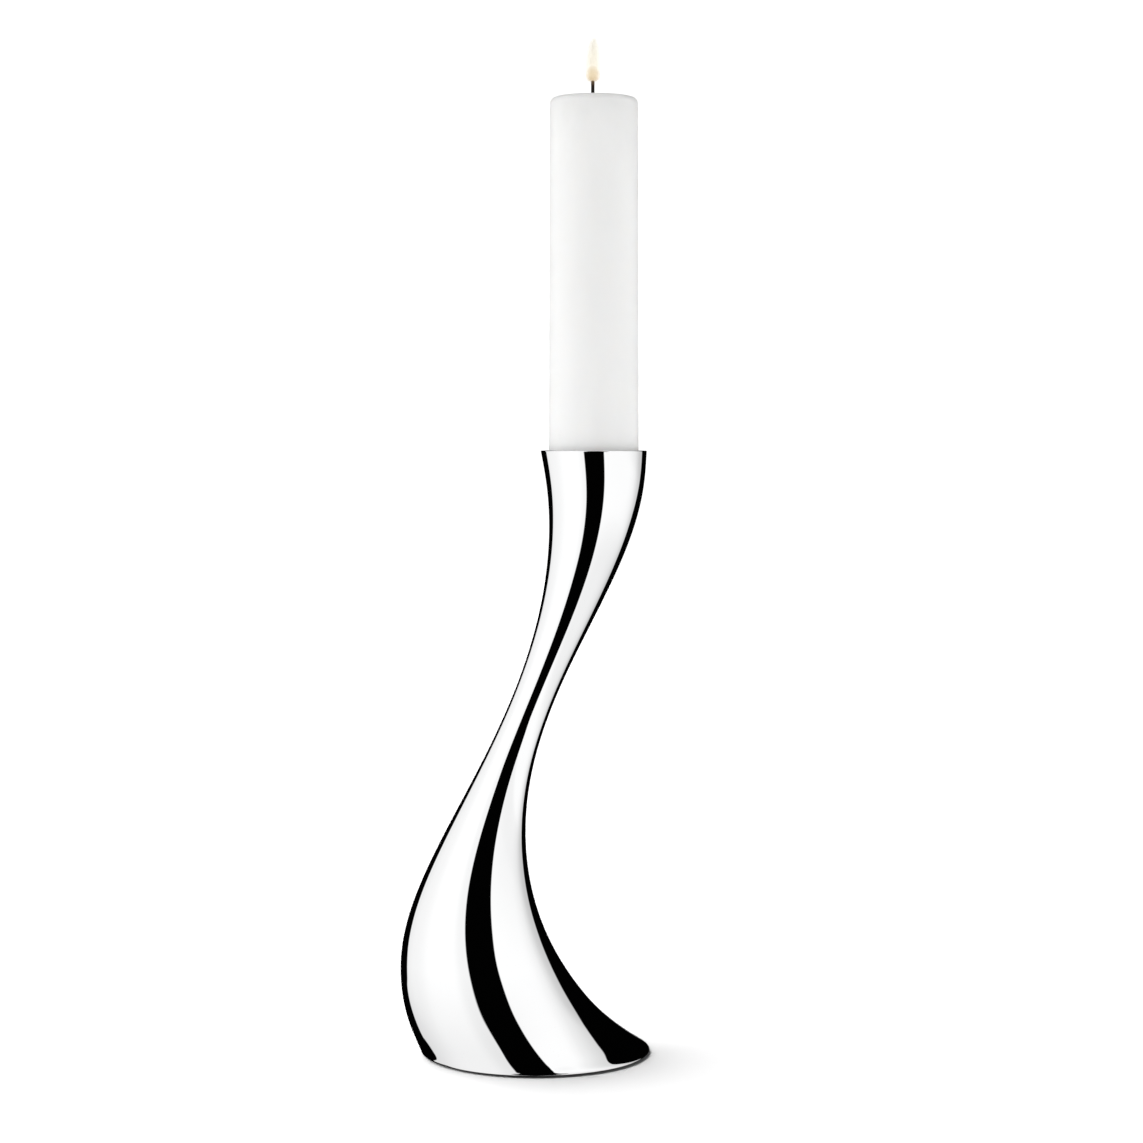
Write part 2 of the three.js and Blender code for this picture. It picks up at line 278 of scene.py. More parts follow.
class Nodes(Tree):
    """A material's node tree, with short calls for the nodes that the finishes use."""

    def __init__(self, name):
        self.material = bpy.data.materials.new(name)
        self.material.use_nodes = True
        super().__init__(self.material.node_tree)
        self.shader = self.tree.nodes["Principled BSDF"]
        self.place = self.add("ShaderNodeTexCoord").outputs["Object"]

    def set(self, **values):
        for key, value in values.items():
            self.shader.inputs[key.replace("_", " ")].default_value = value

    def stretched(self, scale):
        node = self.add("ShaderNodeMapping")
        node.inputs["Scale"].default_value = scale
        self.link(self.place, node.inputs["Vector"])
        return node.outputs["Vector"]

    def noise(self, scale, detail=3.0, roughness=0.5, vector=None, distortion=0.0):
        node = self.add("ShaderNodeTexNoise")
        node.inputs["Scale"].default_value = scale
        node.inputs["Detail"].default_value = detail
        node.inputs["Roughness"].default_value = roughness
        node.inputs["Distortion"].default_value = distortion
        self.link(vector or self.place, node.inputs["Vector"])
        return node.outputs["Fac"]

    def ramp(self, factor, stops):
        """A colour ramp with stops (position, value or colour)."""
        node = self.add("ShaderNodeValToRGB")
        elements = node.color_ramp.elements
        while len(elements) < len(stops):
            elements.new(0.5)
        for element, (position, value) in zip(elements, stops):
            element.position = position
            colour = (value,) * 3 if isinstance(value, (int, float)) else value
            element.color = (*colour, 1)
        self.link(factor, node.inputs["Fac"])
        return node.outputs["Color"]

    def axes(self):
        node = self.add("ShaderNodeSeparateXYZ")
        self.link(self.place, node.inputs["Vector"])
        return node.outputs

    def height_share(self, bottom, top):
        """0 at the height bottom and 1 at the height top, in millimetres from the ground."""
        return self.share(self.axes()["Z"], bottom * MM, top * MM)

    def radius(self, x, y):
        """Distance from an upright axis through x, y, in metres."""
        axes = self.axes()
        dx = self.math("SUBTRACT", axes["X"], x * MM)
        dy = self.math("SUBTRACT", axes["Y"], y * MM)
        total = self.math("ADD", self.math("MULTIPLY", dx, dx), self.math("MULTIPLY", dy, dy))
        return self.math("SQRT", total)

    def tinted(self, colour, tint):
        """The product of two colours."""
        node = self.add("ShaderNodeVectorMath", operation="MULTIPLY")
        self.link(colour, node.inputs[0])
        self.link(tint, node.inputs[1])
        return node.outputs["Vector"]

    def bump(self, height, distance, strength):
        node = self.add("ShaderNodeBump")
        node.inputs["Distance"].default_value = distance
        node.inputs["Strength"].default_value = strength
        self.link(height, node.inputs["Height"])
        self.link(node.outputs["Normal"], self.shader.inputs["Normal"])

    def colour(self, source):
        self.link(source, self.shader.inputs["Base Color"])

    def rough(self, source):
        self.link(source, self.shader.inputs["Roughness"])


# Heights between which painted shade darkens the mirror colour low on the foot, fully below the first.
LOW_SHADE_FULL_BELOW = 12.0
LOW_SHADE_ENDS_ABOVE = 62.0


def polished_metal():
    """Hand-buffed mirror finish: faint cloudy wipe marks in the gloss, hardly any in the colour,
    and painted shade that darkens the colour low on the foot."""
    n = Nodes("polished_metal")
    n.set(Metallic=1.0)
    silver = n.ramp(n.noise(22, detail=4), [(0.3, (0.945, 0.948, 0.952)),
                                            (0.7, (0.968, 0.969, 0.970))])
    # Painted shade: the mirror colour is darker low on the foot and unchanged above.
    low_shade = n.ramp(n.height_share(LOW_SHADE_FULL_BELOW, LOW_SHADE_ENDS_ABOVE),
                    [(0.0, 0.865), (0.22, 0.885), (0.48, 0.92), (0.76, 0.965), (1.0, 1.0)])
    n.colour(n.tinted(silver, low_shade))
    wipes = n.noise(60, detail=7, roughness=0.65, vector=n.stretched((1.0, 1.0, 0.35)))
    n.rough(n.ramp(wipes, [(0.35, 0.008), (0.62, 0.016), (0.85, 0.035)]))
    n.bump(n.noise(35, detail=2), 0.00001, 0.3)
    return n.material


LATHE_FEED = 0.35


def turned_metal(x):
    """Satin lathe finish: fine rings round the axis at x."""
    n = Nodes("turned_metal")
    n.set(Metallic=1.0)
    rings = n.math("SINE", n.math("MULTIPLY", n.radius(x, 0), 2 * math.pi / (LATHE_FEED * MM)))
    uneven = n.noise(180, detail=4)
    mixed = n.math("ADD", n.math("MULTIPLY", rings, 0.25), uneven)
    n.colour(n.ramp(mixed, [(0.2, (0.86, 0.862, 0.866)), (0.8, (0.93, 0.931, 0.933))]))
    n.rough(n.ramp(mixed, [(0.2, 0.12), (0.8, 0.24)]))
    n.bump(rings, 0.00002, 0.5)
    return n.material


def rolled_steel():
    """Mill-finish sheet with a faint rolling direction and darker heat marks."""
    n = Nodes("rolled_steel")
    n.set(Metallic=1.0)
    grain = n.noise(300, detail=6, vector=n.stretched((1.0, 0.06, 1.0)))
    marks = n.noise(30, detail=3)
    tone = n.math("ADD", n.math("MULTIPLY", grain, 0.6), n.math("MULTIPLY", marks, 0.4))
    n.colour(n.ramp(tone, [(0.3, (0.36, 0.36, 0.37)), (0.7, (0.55, 0.55, 0.56))]))
    n.rough(n.ramp(grain, [(0.3, 0.30), (0.7, 0.48)]))
    n.bump(grain, 0.00003, 0.6)
    return n.material


def zinc_plate():
    """Bright zinc with a slightly blue and yellow passivated cast."""
    n = Nodes("zinc_plate")
    n.set(Metallic=1.0)
    cast = n.noise(260, detail=3, distortion=0.4)
    stops = [(0.3, (0.60, 0.63, 0.68)), (0.5, (0.70, 0.71, 0.70)), (0.72, (0.74, 0.71, 0.60))]
    n.colour(n.ramp(cast, stops))
    n.rough(n.ramp(n.noise(900, detail=4), [(0.3, 0.22), (0.75, 0.38)]))
    n.bump(n.noise(1500, detail=2), 0.00001, 0.5)
    return n.material


def cast_iron():
    """Sand-cast skin: grainy, dark, with a few brown rust spots."""
    n = Nodes("cast_iron")
    n.set(Metallic=0.7)
    grain = n.noise(700, detail=8, roughness=0.7)
    spots = n.noise(45, detail=5, roughness=0.6)
    stops = [(0.35, (0.085, 0.083, 0.082)), (0.6, (0.15, 0.145, 0.14)), (0.74, (0.20, 0.11, 0.06))]
    n.colour(n.ramp(spots, stops))
    n.rough(n.ramp(grain, [(0.3, 0.55), (0.7, 0.85)]))
    n.bump(grain, 0.0003, 0.8)
    return n.material


def silicone():
    """Moulded dark rubber with a little dust."""
    n = Nodes("silicone")
    dust = n.noise(500, detail=5)
    n.colour(n.ramp(dust, [(0.4, (0.028, 0.028, 0.031)), (0.8, (0.06, 0.06, 0.063))]))
    n.rough(n.ramp(dust, [(0.3, 0.42), (0.7, 0.62)]))
    n.bump(n.noise(1200, detail=2), 0.00002, 0.5)
    return n.material


def pressed_felt():
    """Black wool felt: short crossed fibres, a little lint and a soft sheen."""
    n = Nodes("pressed_felt")
    n.set(Sheen_Weight=0.35, Sheen_Roughness=0.5)
    along = n.noise(900, detail=5, vector=n.stretched((1.0, 0.18, 1.0)), distortion=1.2)
    across = n.noise(900, detail=5, vector=n.stretched((0.18, 1.0, 1.0)), distortion=1.2)
    fibres = n.math("MAXIMUM", along, across)
    lint = n.noise(2400, detail=2)
    tone = n.math("ADD", n.math("MULTIPLY", fibres, 0.75), n.math("MULTIPLY", lint, 0.25))
    stops = [(0.4, (0.012, 0.012, 0.013)), (0.62, (0.035, 0.035, 0.038)), (0.8, (0.09, 0.09, 0.095))]
    n.colour(n.ramp(tone, stops))
    n.rough(n.ramp(fibres, [(0.3, 0.85), (0.7, 1.0)]))
    n.bump(tone, 0.0003, 0.9)
    return n.material


# How far down from the top, and how strongly, painted shade darkens the wax, and its darkest tone.
TOP_SHADE_LENGTH = 60.0
TOP_SHADE_STRENGTH = 0.55
TOP_SHADE_TONE = 0.92


def paraffin(name, light, shade, gloss):
    """Wax that light sinks into, cloudy where it cooled unevenly, and with painted shade that darkens
    it towards the top of the pillar. Gloss is its roughness range."""
    n = Nodes(name)
    n.set(Subsurface_Weight=0.18, Subsurface_Scale=0.0015, IOR=1.44, Specular_IOR_Level=0.35)
    n.set(Subsurface_Radius=(1.0, 0.9, 0.8))
    clouds = n.noise(28, detail=5, roughness=0.55, vector=n.stretched((1.0, 1.0, 0.45)))
    # Painted shade: the wax colour darkens towards the top of the pillar.
    top_share = n.height_share(WAX_TOP - TOP_SHADE_LENGTH, WAX_TOP)
    painted_top_shade = n.math("MULTIPLY", n.math("MULTIPLY", top_share, top_share), TOP_SHADE_STRENGTH)
    tone = n.math("SUBTRACT", clouds, painted_top_shade)
    top_shade_colour = [TOP_SHADE_TONE * channel for channel in shade]
    n.colour(n.ramp(tone, [(0.0, top_shade_colour), (0.35, shade), (0.7, light)]))
    n.rough(n.ramp(n.noise(240, detail=4), [(0.3, gloss[0]), (0.7, gloss[1])]))
    n.bump(n.noise(110, detail=3), 0.00012, 0.35)
    return n.material


CHAR_STARTS_BELOW = 2.0


def charred_cotton():
    """Braided wick, charred black, with painted glow: dark brown at the tip."""
    n = Nodes("charred_cotton")
    # Up the wick: grey near the wax, charred black, then painted glow in brown at the tip.
    char_and_glow = n.height_share(WAX_TOP - CHAR_STARTS_BELOW, WICK_TOP - CHAR_STARTS_BELOW)
    ash = n.noise(2600, detail=4)
    tone = n.math("ADD", char_and_glow, n.math("MULTIPLY", n.math("SUBTRACT", ash, 0.5), 0.35))
    stops = [
        (0.0, (0.045, 0.042, 0.038)),
        (0.45, (0.006, 0.005, 0.0045)),
        (0.8, (0.014, 0.007, 0.0035)),
        (1.0, (0.05, 0.022, 0.009)),
    ]
    n.colour(n.ramp(tone, stops))
    n.rough(n.ramp(ash, [(0.3, 0.8), (0.7, 1.0)]))
    n.bump(ash, 0.0001, 0.8)
    return n.material


def flame_gas(name, alpha, stops, bottom, top):
    """One glowing layer of the flame, whose colour changes with height between bottom and top."""
    n = Nodes(name)
    n.set(Base_Color=(0, 0, 0, 1), Roughness=1.0, Specular_IOR_Level=0.0, IOR=1.0)
    n.set(Alpha=alpha, Emission_Strength=1.0)
    n.link(n.ramp(n.height_share(bottom, top), stops), n.shader.inputs["Emission Color"])
    return n.material


# ------------------------------------------------------------------ the column

SKIN_AROUND = 224
SKIN_STEPS_PER_ROW = 10
EDGE_STEPS = 8
EDGE_SUPPORT = 0.006

# The rows with one more at each end, so that the curve starts and ends on the first and last row.
STEERING_ROWS = np.vstack([
    2 * BODY_CIRCLES[0] - BODY_CIRCLES[1],
    BODY_CIRCLES,
    2 * BODY_CIRCLES[-1] - BODY_CIRCLES[-2],
])


def body_curve(t):
    """Height, centre and radius on the uniform cubic B-spline at t, and their rates of change."""
    i = min(int(t), len(BODY_CIRCLES) - 2)
    u = t - i
    weights = np.array([(1 - u) ** 3, 3 * u**3 - 6 * u**2 + 4, 3 * (u + u**2 - u**3) + 1, u**3]) / 6
    slopes = np.array([-((1 - u) ** 2), 3 * u**2 - 4 * u, 1 + 2 * u - 3 * u**2, u**2]) / 2
    rows = STEERING_ROWS[i:i + 4]
    return weights @ rows, slopes @ rows


def skin_ring(t, depth=0.0, reach=0.0):
    """Points round the skin at t, moved inwards by depth and on past the edge by reach."""
    (height, centre, radius), (d_height, d_centre, d_radius) = body_curve(t)
    angles = even_angles(SKIN_AROUND)
    cos, sin = np.cos(angles), np.sin(angles)
    points = level_ring(centre, 0, radius, angles, height)
    along = level_ring(d_centre, 0, d_radius, angles, d_height)
    outward = np.stack([-d_height * cos, -d_height * sin, d_radius + d_centre * cos], 1)
    along /= np.linalg.norm(along, axis=1)[:, None]
    outward /= np.linalg.norm(outward, axis=1)[:, None]
    return points - depth * outward + reach * along


def half_round(t, side, from_inside):
    """The rings of the wall's half-round edge at t, past its top (side -1) or its bottom (1)."""
    rings = []
    for i in range(1, EDGE_STEPS):
        angle = math.pi * i / EDGE_STEPS
        across = -math.cos(angle) if from_inside else math.cos(angle)
        rings.append(skin_ring(t, WALL / 2 * (1 - across), side * WALL / 2 * math.sin(angle)))
    return rings


def make_column(material):
    """The hollow skin: down the outside, round the lip, up the inside and round the rim."""
    end = len(BODY_CIRCLES) - 1
    stations = np.linspace(0, end, end * SKIN_STEPS_PER_ROW + 1)
    stations = np.sort(np.append(stations, [EDGE_SUPPORT, end - EDGE_SUPPORT]))
    rings = [skin_ring(t) for t in stations]
    rings += half_round(end, 1, False)
    rings += [skin_ring(t, WALL) for t in stations[::-1]]
    rings += half_round(0, -1, True)
    faces = band_faces(len(rings), SKIN_AROUND, True)
    column = add_mesh("column_skin", np.concatenate(rings), faces, material)
    return place(column, "holder", "polished_metal", "body_shell")


# ------------------------------------------------------------------ cup and seal

CUP_WALL_R = 30.85
CUP_BORE_R = 30.1
CUP_LEDGE_THICK = 1.0
CUP_FLOOR_THICK = 1.2
SEAL_SECTION_R = 0.85
SEAL_SECTION_POINTS = 20


def make_cup(material):
    """A thin cup that hangs by its ledge inside the rim."""
    ledge_bottom = CUP_TOP - CUP_LEDGE_THICK
    profile = rounded([
        (0, CUP_BOTTOM, 0),
        (CUP_WALL_R, CUP_BOTTOM, 0.4),
        (CUP_WALL_R, ledge_bottom, 0.1),
        (CUP_LEDGE_R, ledge_bottom, 0.2),
        (CUP_LEDGE_R, CUP_TOP, 0.3),
        (CUP_BORE_R, CUP_TOP, 0.3),
        (CUP_BORE_R, CUP_BOTTOM + CUP_FLOOR_THICK, 0.3),
        (0, CUP_BOTTOM + CUP_FLOOR_THICK, 0),
    ])
    cup = turned("cup_turning", profile, material, CUP_X, around=192)
    return place(cup, "holder", "cup_metal", "candle_cup")


def make_seal(material):
    """A round-section ring between the cup and the neck."""
    _, _, outer_r, low, high = span("cup_seal")
    centre_r = outer_r - SEAL_SECTION_R
    section = [
        (centre_r + SEAL_SECTION_R * math.cos(a), (low + high) / 2 + SEAL_SECTION_R * math.sin(a))
        for a in even_angles(SEAL_SECTION_POINTS)
    ]
    seal = turned("seal_ring", section, material, CUP_X, around=160, closed=True)
    return place(seal, "holder", "seal_rubber", "cup_seal")


# ------------------------------------------------------------------ foot

PAD_ACCESS_R = 5.0
RING_INNER_R = 54.0
RING_SEAT_R = 68.2
RING_FLANGE_R = 69.7
RING_FLANGE_TOP_R = 69.4
RING_FLANGE_THICK = 1.0
RING_TOP_R = 64.3
WEIGHT_RIM_HEIGHT = 5.2
WEIGHT_SHOULDER_R = 44.5
WEIGHT_SHOULDER_DROP = 1.5
WEIGHT_TOP_R = 43.0
WEIGHT_GROOVE_OUTER_R = 26.0
WEIGHT_GROOVE_INNER_R = 12.5
WEIGHT_GROOVE_DEPTH = 1.2
WEIGHT_GROOVE_SLOPE = 1.5
SCREW_SHANK_R = 2.0
SCREW_PITCH = 0.7
SCREW_FLATS = 2.5
BOLT_SHANK_R = 4.0
BOLT_PITCH = 1.25
BOLT_FLATS = 5.0
SOCKET_DEPTH = 1.2
HOLE_GAP = 0.3
CUTTER_OVERLAP = 1.0
HEAD_CHAMFER = 0.15
TIP_CHAMFER = 0.4
THREAD_DEPTH_PER_PITCH = 0.55
STEM_AROUND = 48
STEPS_PER_THREAD = 8
NUT_CORNER_TURNED = 0.2
NUT_BORE_CHAMFER = 0.4


def countersink(name, head_r, shank_r, bottom, top, material, x=0.0, y=0.0):
    """The cutter for a countersunk hole, open below."""
    profile = [
        (0, bottom - CUTTER_OVERLAP),
        (head_r + HOLE_GAP, bottom - CUTTER_OVERLAP),
        (head_r + HOLE_GAP, bottom),
        (shank_r + HOLE_GAP, bottom + head_r - shank_r),
        (shank_r + HOLE_GAP, top),
        (0, top),
    ]
    return turned(name, profile, material, x, y, around=64)


def bolt_hole(material):
    """The cutter for the bolt's hole through the plate and the weight."""
    _, _, head_r, bottom, _ = span("ballast_bolt")
    top = span("ballast_weight")[-1] + CUTTER_OVERLAP
    return countersink("bolt_hole", head_r, BOLT_SHANK_R, bottom, top, material)


def screw_holes(material):
    """Cutters for the base screws' holes."""
    return [
        countersink(f"screw_hole_{i}", SCREW_HEAD_R, SCREW_SHANK_R, PLATE_BOTTOM,
                    SCREW_TOP + CUTTER_OVERLAP, material, x, y)
        for i, (x, y) in enumerate(SCREW_PLACES)
    ]


def make_pad(material):
    """Felt disc with soft edges and an access hole at each screw."""
    profile = rounded([(0, PAD_BOTTOM, 0), (PAD_R, PAD_BOTTOM, 0.25), (PAD_R, PAD_TOP, 0.35),
                       (0, PAD_TOP, 0)])
    pad = turned("felt_disc", profile, material, around=256)
    below, above = PAD_BOTTOM - CUTTER_OVERLAP, PAD_TOP + CUTTER_OVERLAP
    hole = [(0, below), (PAD_ACCESS_R, below), (PAD_ACCESS_R, above), (0, above)]
    holes = [
        turned(f"access_{i}", hole, material, x, y, around=64)
        for i, (x, y) in enumerate(SCREW_PLACES)
    ]
    combine(pad, holes)
    return place(pad, "holder", "pad_felt", "felt_pad")


def make_plate(material):
    """The flat plate that closes the foot, with a countersunk hole for each screw and the bolt."""
    profile = rounded([(0, PLATE_BOTTOM, 0), (PLATE_R, PLATE_BOTTOM, 0.3),
                       (PLATE_R, PLATE_TOP, 0.3), (0, PLATE_TOP, 0)])
    plate = turned("closing_plate", profile, material, around=192)
    combine(plate, [*screw_holes(material), bolt_hole(material)])
    return place(plate, "holder", "plate_metal", "base_plate")


def make_ring(material):
    """The soldered ring: a seat on the curled lip, a sloping outside, and a tapped hole per screw."""
    _, _, _, low, high = span("foot_ring")
    profile = rounded([
        (RING_INNER_R, PLATE_TOP + HOLE_GAP, 0.3),
        (RING_SEAT_R, PLATE_TOP + HOLE_GAP, 0.1),
        (RING_SEAT_R, low, 0.1),
        (RING_FLANGE_R, low, 0.2),
        (RING_FLANGE_TOP_R, low + RING_FLANGE_THICK, 0.3),
        (RING_TOP_R, high, 0.5),
        (RING_INNER_R, high, 0.5),
    ], closed=True)
    ring = turned("mounting_ring", profile, material, around=192, closed=True)
    combine(ring, screw_holes(material))
    return place(ring, "holder", "plate_metal", "foot_ring")


def make_weight(material):
    """The cast weight: a straight rim, a sloping shoulder and a shallow groove round its boss."""
    _, _, radius, low, high = span("ballast_weight")
    groove_floor = high - WEIGHT_GROOVE_DEPTH
    profile = rounded([
        (0, low, 0),
        (radius, low, 1.0),
        (radius, low + WEIGHT_RIM_HEIGHT, 1.5),
        (WEIGHT_SHOULDER_R, high - WEIGHT_SHOULDER_DROP, 1.2),
        (WEIGHT_TOP_R, high, 0.8),
        (WEIGHT_GROOVE_OUTER_R, high, 1.0),
        (WEIGHT_GROOVE_OUTER_R - WEIGHT_GROOVE_SLOPE, groove_floor, 1.0),
        (WEIGHT_GROOVE_INNER_R + WEIGHT_GROOVE_SLOPE, groove_floor, 1.0),
        (WEIGHT_GROOVE_INNER_R, high, 1.0),
        (0, high, 0),
    ])
    weight = turned("iron_weight", profile, material, around=192)
    combine(weight, [bolt_hole(material)])
    return place(weight, "holder", "ballast_iron", "ballast_weight")


def threaded_stem(name, node, shank_r, pitch, flats, material):
    """A countersunk socket screw pointing up: flat head, cone, and a cut helical thread."""
    x, y, head_r, bottom, top = span(node)
    cone_top = bottom + head_r - shank_r
    thread_start, tip_start = cone_top + HOLE_GAP, top - TIP_CHAMFER
    angles = even_angles(STEM_AROUND)
    sections = [(head_r - HEAD_CHAMFER, bottom), (head_r, bottom + HEAD_CHAMFER), (shank_r, cone_top)]
    for z in np.arange(thread_start, top, pitch / STEPS_PER_THREAD):
        turns = (z - thread_start) / pitch
        phase = np.mod(turns - angles / (2 * math.pi), 1.0)
        # A vee with a narrow flat at its root and at its crest.
        vee = np.clip(1.25 * (1 - np.abs(2 * phase - 1)) - 0.125, 0, 1)
        groove = THREAD_DEPTH_PER_PITCH * pitch * vee * min(1.0, turns)
        sections.append((np.minimum(shank_r - groove, shank_r - max(0.0, z - tip_start)), z))
    rings = [level_ring(x, y, radius, angles, z) for radius, z in sections]
    vertices, faces = pointed(rings, (x, y, bottom), (x, y, top))
    stem = add_mesh(name, vertices, faces, material)
    socket = hex_prism("socket", flats, bottom - CUTTER_OVERLAP, bottom + SOCKET_DEPTH, material,
                       x, y)
    combine(stem, [socket])
    return place(stem, "holder", "fastener_zinc", node)


def make_washer(material):
    """The flat washer under the nut."""
    _, _, radius, low, high = span("ballast_washer")
    bore = BOLT_SHANK_R + HOLE_GAP
    profile = rounded([(bore, low, 0.15), (radius, low, 0.3), (radius, high, 0.3),
                       (bore, high, 0.15)], closed=True)
    washer = turned("weight_washer", profile, material, around=96, closed=True)
    return place(washer, "holder", "fastener_zinc", "ballast_washer")


def make_nut(material):
    """A hexagon whose corners are turned off above and below, with a chamfered bore."""
    _, _, corner_r, low, high = span("ballast_nut")
    flats = corner_r * math.sqrt(3)
    turned_r = flats / 2 - NUT_CORNER_TURNED
    chamfer = (corner_r - turned_r) / 2
    bore = BOLT_SHANK_R + HOLE_GAP
    wide_bore = bore + NUT_BORE_CHAMFER + CUTTER_OVERLAP
    nut = hex_prism("weight_nut", flats, low, high, material)
    envelope = turned("envelope", [
        (0, low),
        (turned_r, low),
        (corner_r, low + chamfer),
        (corner_r, high - chamfer),
        (turned_r, high),
        (0, high),
    ], material, around=96)
    combine(nut, [envelope], "INTERSECT")
    hole = turned("hole", [
        (0, low - CUTTER_OVERLAP),
        (wide_bore, low - CUTTER_OVERLAP),
        (bore, low + NUT_BORE_CHAMFER),
        (bore, high - NUT_BORE_CHAMFER),
        (wide_bore, high + CUTTER_OVERLAP),
        (0, high + CUTTER_OVERLAP),
    ], material, around=64)
    combine(nut, [hole])
    return place(nut, "holder", "fastener_zinc", "ballast_nut")


# ------------------------------------------------------------------ candle

CANDLE_TOP_R = 28.8
CANDLE_SHOULDER_R = 4.0
MELT_POOL_R = 19.0
MELT_POOL_FLOOR_R = 15.2
MELT_POOL_DEPTH = 1.2
POOL_EDGE = 0.6
POOL_MARGIN = 0.5
COLLAR_WIDTH = 1.2
COLLAR_HEIGHT = 0.35
WAX_AROUND = 192
WAX_ROUNDING_STEPS = 10
WAX_LONGEST_SIDE = 4.0


def make_wax(material, melted):
    """The pillar: nearly straight sides, a rounded shoulder and a shallow pool round the wick."""
    hole_r = WICK_R + HOLE_GAP
    pool_floor = WAX_TOP - MELT_POOL_DEPTH
    corners = rounded([
        (hole_r, WAX_BOTTOM, 0),
        (WAX_R, WAX_BOTTOM, 1.0),
        (CANDLE_TOP_R, WAX_TOP, CANDLE_SHOULDER_R),
        (MELT_POOL_R + POOL_EDGE, WAX_TOP, 1.2),
        (MELT_POOL_FLOOR_R, pool_floor, 3.0),
        (hole_r + COLLAR_WIDTH, pool_floor, 0.6),
        (hole_r, pool_floor + COLLAR_HEIGHT, 0),
    ], closed=True, steps=WAX_ROUNDING_STEPS)
    profile = subdivide(corners, WAX_LONGEST_SIDE)
    wax = turned("pillar_wax", profile, material, WAX_X, around=WAX_AROUND, closed=True)
    wax.data.materials.append(melted)
    pool_r, pool_low = (MELT_POOL_R - POOL_MARGIN) * MM, (pool_floor - POOL_MARGIN) * MM
    for face in wax.data.polygons:
        middle = face.center
        if middle.z > pool_low and math.hypot(middle.x - WAX_X * MM, middle.y) < pool_r:
            face.material_index = 1
    return place(wax, "candle", "candle_wax", "candle_wax")


def subdivide(profile, longest):
    """A closed profile with extra points, so that no side is longer than longest."""
    points = []
    for i, start in enumerate(profile):
        end = profile[(i + 1) % len(profile)]
        parts = max(1, math.ceil(math.dist(start, end) / longest))
        for s in range(parts):
            share = s / parts
            points.append(tuple(a + (b - a) * share for a, b in zip(start, end)))
    return points


WICK_LEAN = 0.75
WICK_BEND_LENGTH = 2.4
WICK_BODY_SHARE = 0.93
WICK_SWELL_SHARE = 0.10
WICK_SWELL_LENGTH = 8.0
WICK_CROWN = 0.9
WICK_CROWN_LEAST = 0.05
STRANDS = 3
STRAND_RIDGE = 0.16
STRAND_PITCH = 5.0
WICK_AROUND = 36
WICK_STEP = 0.25


def make_wick(material):
    """A braided cord: three strands show as a helical ridge, and the burnt tip swells and bends."""
    angles = even_angles(WICK_AROUND)
    rings = []
    for z in np.arange(WICK_BOTTOM, WICK_TOP, WICK_STEP):
        above = max(0.0, z - (WAX_TOP - MELT_POOL_DEPTH))
        bend = min(1.0, above / WICK_BEND_LENGTH)
        lean = WICK_LEAN * bend**2 * (3 - 2 * bend)
        swell = WICK_SWELL_SHARE * min(1.0, above / WICK_SWELL_LENGTH)
        twist = 2 * math.pi * z / STRAND_PITCH
        ridge = STRAND_RIDGE * (np.abs(np.sin(STRANDS / 2 * (angles - twist))) - 0.5)
        crown = max(0.0, z - (WICK_TOP - WICK_CROWN)) / WICK_CROWN
        rounding = math.sqrt(max(WICK_CROWN_LEAST, 1 - crown**2))
        radius = (WICK_R * (WICK_BODY_SHARE + swell) + ridge) * rounding
        rings.append(level_ring(WAX_X - lean, 0, np.minimum(radius, WICK_R), angles, z))
    upper = (len(rings) - 1) * WICK_AROUND
    faces = band_faces(len(rings), WICK_AROUND, False)
    faces.append(tuple(reversed(range(WICK_AROUND))))
    faces.append(tuple(range(upper, upper + WICK_AROUND)))
    wick = add_mesh("braided_wick", np.concatenate(rings), faces, material)
    return place(wick, "candle", "wick_cotton", "candle_wick")


# ------------------------------------------------------------------ flame

# Layers nearer the middle start higher, by up to the rise, end lower, by up to the drop, and are
# narrower, by up to the narrowing as a share. The drift is the tip's, to one side.
FLAME_X = WAX_X - WICK_LEAN
FLAME_BOTTOM = WICK_TOP - 3.0
FLAME_TOP = WICK_TOP + 28.5
FLAME_R = 5.8
FLAME_LAYERS = 8
FLAME_ALPHA = 0.07
FLAME_DRIFT = 0.8
FLAME_RISE = 4.0
FLAME_DROP = 3.0
FLAME_NARROWING = 0.85
CORE_BOTTOM = WICK_TOP - 0.6
CORE_TOP = WICK_TOP + 9.5
CORE_R = 4.7
CORE_LAYERS = 4
CORE_ALPHA = 0.13
CORE_DRIFT = 0.2
CORE_RISE = 1.0
CORE_DROP = 3.0
CORE_NARROWING = 0.8
LAYER_AROUND = 48
LAYER_STEPS = 40
TRANSPARENT_BOUNCES = 32  # above the 24 walls of layers that a ray can cross
# At a share s of its height, a teardrop's half width is its radius times the fullness, times s to
# the first power here, times 1 - s to the second. The fullness brings its widest part to its radius.
TEARDROP_POWERS = (0.3, 0.5)
TEARDROP_FULLNESS = 1.70


def flame_layer(name, bottom, top, radius, material, drift):
    """A closed teardrop: round below, drawn out to a fine tip that drifts to one side."""
    angles = even_angles(LAYER_AROUND)
    rounding, tapering = TEARDROP_POWERS
    rings = []
    for i in range(1, LAYER_STEPS):
        s = (1 - math.cos(math.pi * i / LAYER_STEPS)) / 2
        width = radius * TEARDROP_FULLNESS * s**rounding * (1 - s) ** tapering
        rings.append(level_ring(FLAME_X + drift * s**2, 0, width, angles,
                                bottom + (top - bottom) * s))
    vertices, faces = pointed(rings, (FLAME_X, 0, bottom), (FLAME_X + drift, 0, top))
    layer = add_mesh(name, vertices, faces, material)
    layer.visible_shadow = False
    return place(layer, "candle", "candle_wax")


